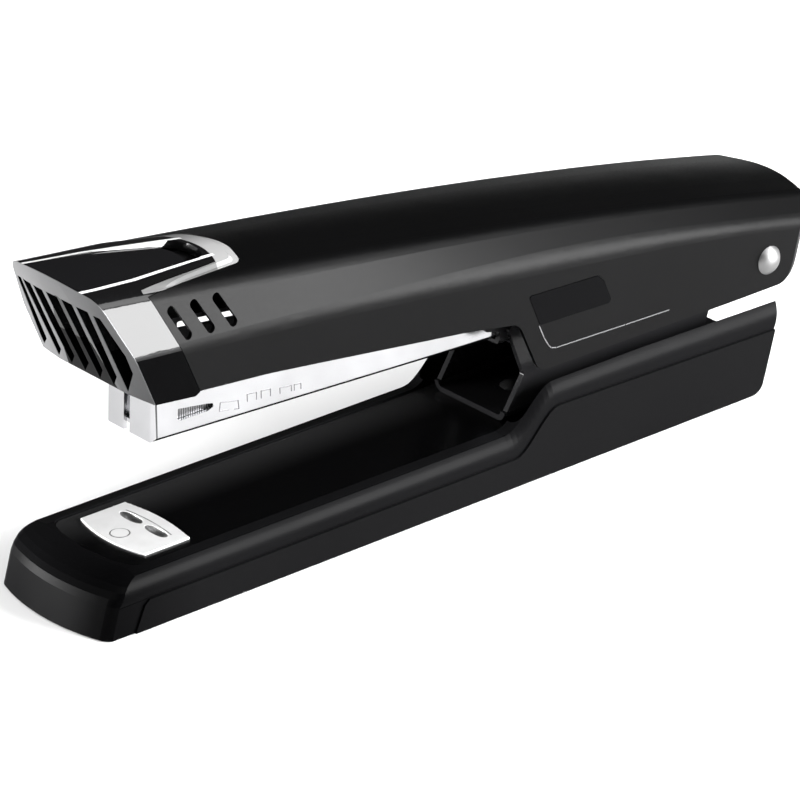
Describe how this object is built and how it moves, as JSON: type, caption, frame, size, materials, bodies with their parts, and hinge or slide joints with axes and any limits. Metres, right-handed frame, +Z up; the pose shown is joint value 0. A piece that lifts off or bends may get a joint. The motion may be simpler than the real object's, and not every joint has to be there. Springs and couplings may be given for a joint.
{
  "type": "full-strip desk stapler",
  "caption": "Full-strip desk stapler standing open: weighted base with anvil, hinged chrome staple magazine with sprung pusher, and hinged cover with a grille nose and driver blade.",
  "frame": {"origin": "centre of the footprint box, on the surface the sole stands on", "axes": "+Z up; -X towards the nose, +X towards the hinge; Y across, the part is the same on both sides"},
  "size_m": [0.1932, 0.0412, 0.0709],
  "materials": {
    "base_shell": "black moulding with glossy shoulders and matte side panels",
    "non_slip_sole": "matte black rubber",
    "base_screws": "dark zinc",
    "base_plate": "gloss black enamel",
    "anvil_plate": "bright plated",
    "anvil_rivet": "bright plated",
    "pivot_bracket": "gloss black enamel",
    "bracket_rivets": "black",
    "lift_spring": "blued spring steel",
    "lift_spring_rivet": "black",
    "pivot_rivet": "satin grey",
    "pivot_spacers": "matte black",
    "magazine": "bright plated",
    "staple_rail": "zinc",
    "staple_strip": "bright wire",
    "rod_anchor": "zinc",
    "guide_rod": "polished",
    "magazine_carrier": "black enamel",
    "carrier_rivets": "black",
    "pusher_spring": "spring wire",
    "pusher": "matte black",
    "cover_shell": "fine-grain charcoal powder coat",
    "side_badges": "gloss black",
    "nose_cap": "dark chrome-like gloss black",
    "nose_inlay": "piano black",
    "driver_arm": "bright plated",
    "driver_blade": "hardened steel",
    "inner_frame": "matte black",
    "frame_rivets": "zinc",
    "driver_arm_studs": "zinc",
    "cover_spring": "spring steel"
  },
  "bodies": {
    "base": {"base_shell": "base_shell", "non_slip_sole": "non_slip_sole", "base_screws": "base_screws", "base_plate": "base_plate", "anvil_plate": "anvil_plate", "anvil_rivet": "anvil_rivet", "pivot_bracket": "pivot_bracket", "bracket_rivets": "bracket_rivets", "lift_spring": "lift_spring", "lift_spring_rivet": "lift_spring_rivet", "pivot_rivet": "pivot_rivet", "pivot_spacers": "pivot_spacers"},
    "magazine": {"magazine": "magazine", "staple_rail": "staple_rail", "staple_strip": "staple_strip", "rod_anchor": "rod_anchor", "guide_rod": "guide_rod", "magazine_carrier": "magazine_carrier", "carrier_rivets": "carrier_rivets", "pusher_spring": "pusher_spring"},
    "pusher": {"pusher": "pusher"},
    "cover": {"cover_shell": "cover_shell", "side_badges": "side_badges", "nose_cap": "nose_cap", "nose_inlay": "nose_inlay", "driver_arm": "driver_arm", "driver_blade": "driver_blade", "inner_frame": "inner_frame", "frame_rivets": "frame_rivets", "driver_arm_studs": "driver_arm_studs", "cover_spring": "cover_spring"}
  },
  "joints": [
    {"name": "magazine_hinge", "type": "hinge", "parent": "base", "child": "magazine", "pos_m": [0.07922, 0, 0.0314], "axis": [0, -1, 0], "range_deg": [0, 7.5], "stiffness_Nm_per_rad": 1.6, "springref_deg": -12.61, "deforming": ["lift_spring"]},
    {"name": "cover_hinge", "type": "hinge", "parent": "magazine", "child": "cover", "pos_m": [0.07922, 0, 0.0314], "axis": [0, -1, 0], "range_deg": [-75, 3.1], "stiffness_Nm_per_rad": 2.5, "springref_deg": -1.72, "deforming": ["cover_spring"]},
    {"name": "pusher_slide", "type": "slide", "parent": "magazine", "child": "pusher", "axis": [0.9989, 0, -0.0459], "range_m": [0, 0.048], "stiffness_N_per_m": 60, "springref_m": -0.03, "deforming": ["pusher_spring"]}
  ]
}
